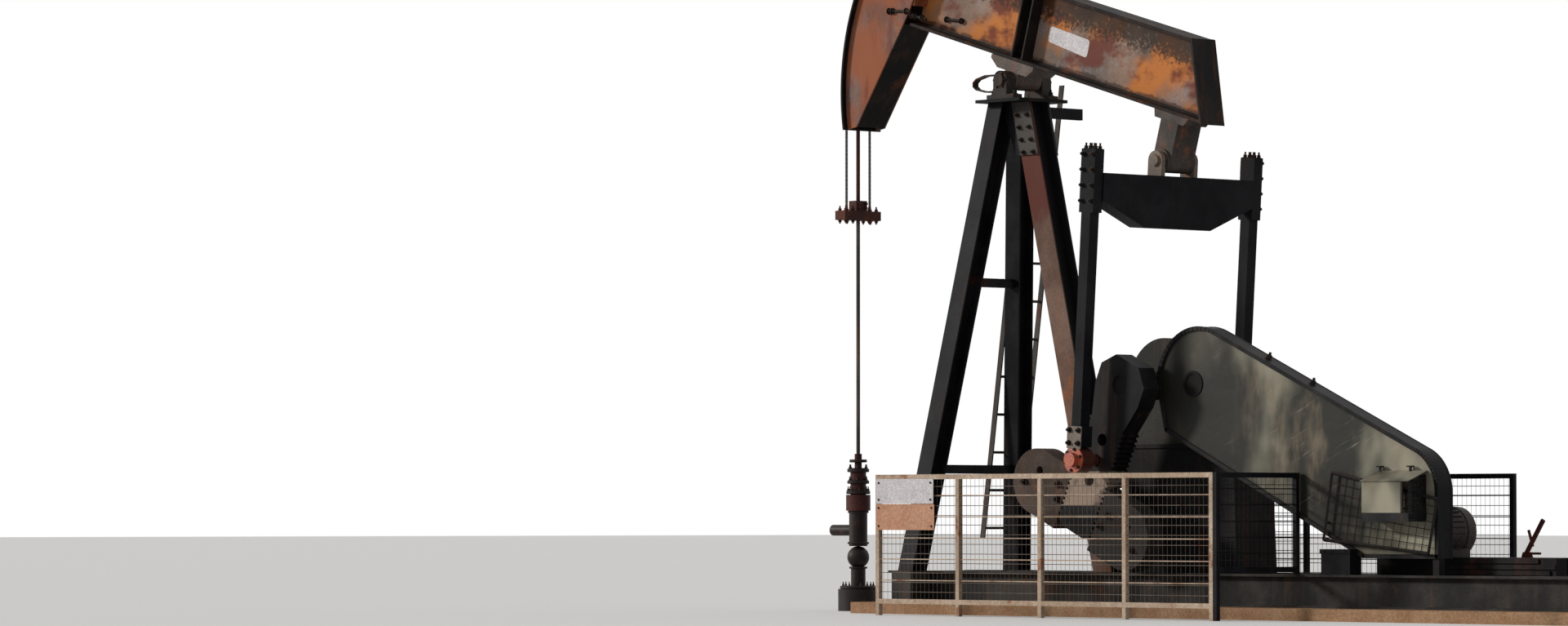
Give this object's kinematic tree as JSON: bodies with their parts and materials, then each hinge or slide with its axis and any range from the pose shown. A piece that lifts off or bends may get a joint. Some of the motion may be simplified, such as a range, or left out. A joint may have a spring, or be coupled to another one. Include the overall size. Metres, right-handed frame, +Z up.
{
  "type": "beam pumping unit",
  "caption": "Beam pumping unit over a well: walking beam and horsehead on a braced post, cranks, gearbox, belt guard, guard fences and wellhead.",
  "frame": {"origin": "on the ground under the pad, straight below the saddle bearing, in the centre plane", "axes": "+X along the walking beam towards the motor, with the well at -X; +Y across the unit; +Z up"},
  "size_m": [8.6293, 2.638, 5.6637],
  "materials": {
    "weathered_paint": "weathered light paint with rust breaking through",
    "dark_steel": "black oxidised paint",
    "black_steel": "black paint, dusty",
    "worn_steel": "worn grey paint",
    "concrete": "cast concrete",
    "wire_rope": "greased wire rope",
    "red_grease": "red paint with grease",
    "red_oxide": "dark red oxide paint",
    "cast_crank": "painted cast iron",
    "cast_weight": "painted cast iron, chalky",
    "rod_steel": "oiled steel rod",
    "case_grey": "grey painted casting",
    "guard_sheet": "dull grey-green sheet, scuffed",
    "motor_grey": "grey painted motor",
    "fence_tube": "faded tan paint",
    "wellhead_iron": "oily cast iron"
  },
  "bodies": {
    "root": {"concrete_pad": "concrete", "skid_runners": "black_steel", "skid_cross_members": "black_steel", "front_leg_near": "dark_steel", "front_leg_far": "dark_steel", "rear_leg": "weathered_paint", "leg_braces": "dark_steel", "post_cap": "dark_steel", "head_gussets": "worn_steel", "saddle_bearings": "dark_steel", "ladder": "worn_steel", "ladder_arm": "dark_steel", "gearbox_pedestal": "black_steel", "gear_case": "case_grey", "gear_case_cover": "case_grey", "belt_guard": "guard_sheet", "guard_leg": "black_steel", "motor": "motor_grey", "motor_rails": "black_steel", "brake_lever": "red_oxide", "fence_near": "fence_tube", "fence_rear": "fence_tube", "fence_far": "fence_tube", "casing_head": "wellhead_iron", "pumping_tee": "wellhead_iron", "stuffing_box": "red_oxide"},
    "beam": {"walking_beam": "weathered_paint", "saddle_bracket": "weathered_paint", "saddle_shaft": "dark_steel", "horsehead_face": "dark_steel", "horsehead_cheeks": "weathered_paint", "horsehead_back": "dark_steel", "head_ropes": "wire_rope", "head_mounts": "weathered_paint", "tail_bearing": "dark_steel"},
    "pitmans": {"equalizer": "black_steel", "equalizer_lugs": "worn_steel", "tail_pin": "worn_steel", "pitman_near": "black_steel", "pitman_far": "black_steel", "wrist_bearing_near": "red_grease", "wrist_bearing_far": "red_grease"},
    "cranks": {"crank_near": "cast_crank", "crank_far": "cast_crank", "crankshaft": "black_steel", "weights_near": "cast_weight", "weights_far": "cast_weight"},
    "rod": {"carrier_bar": "red_oxide", "rod_clamp": "red_oxide", "polished_rod": "rod_steel", "bridle_ropes": "wire_rope"}
  },
  "joints": [
    {"name": "crank_turn", "type": "hinge", "parent": "root", "child": "cranks", "pos_m": [1.78, 0, 1.78], "axis": [0, 1, 0], "range_deg": [-7.75, 154.9]},
    {"name": "beam_rock", "type": "hinge", "parent": "root", "child": "beam", "pos_m": [0, 0, 4.24], "axis": [0, 1, 0], "range_deg": [-38.91, 1.95]},
    {"name": "tail_swing", "type": "hinge", "parent": "beam", "child": "pitmans", "pos_m": [1.67477, 0, 3.53014], "axis": [0, 1, 0], "range_deg": [-1.72, 34.48]},
    {"name": "rod_lift", "type": "slide", "parent": "root", "child": "rod", "axis": [0, 0, 1], "range_m": [-1.3104, 0.0656], "deforming": ["polished_rod", "bridle_ropes"]}
  ],
  "couplings": [
    {"joint": "beam_rock", "follows": "crank_turn", "ratio": -0.25097},
    {"joint": "tail_swing", "follows": "crank_turn", "ratio": 0.22235},
    {"joint": "rod_lift", "follows": "crank_turn", "m_per_rad": -0.4842}
  ]
}
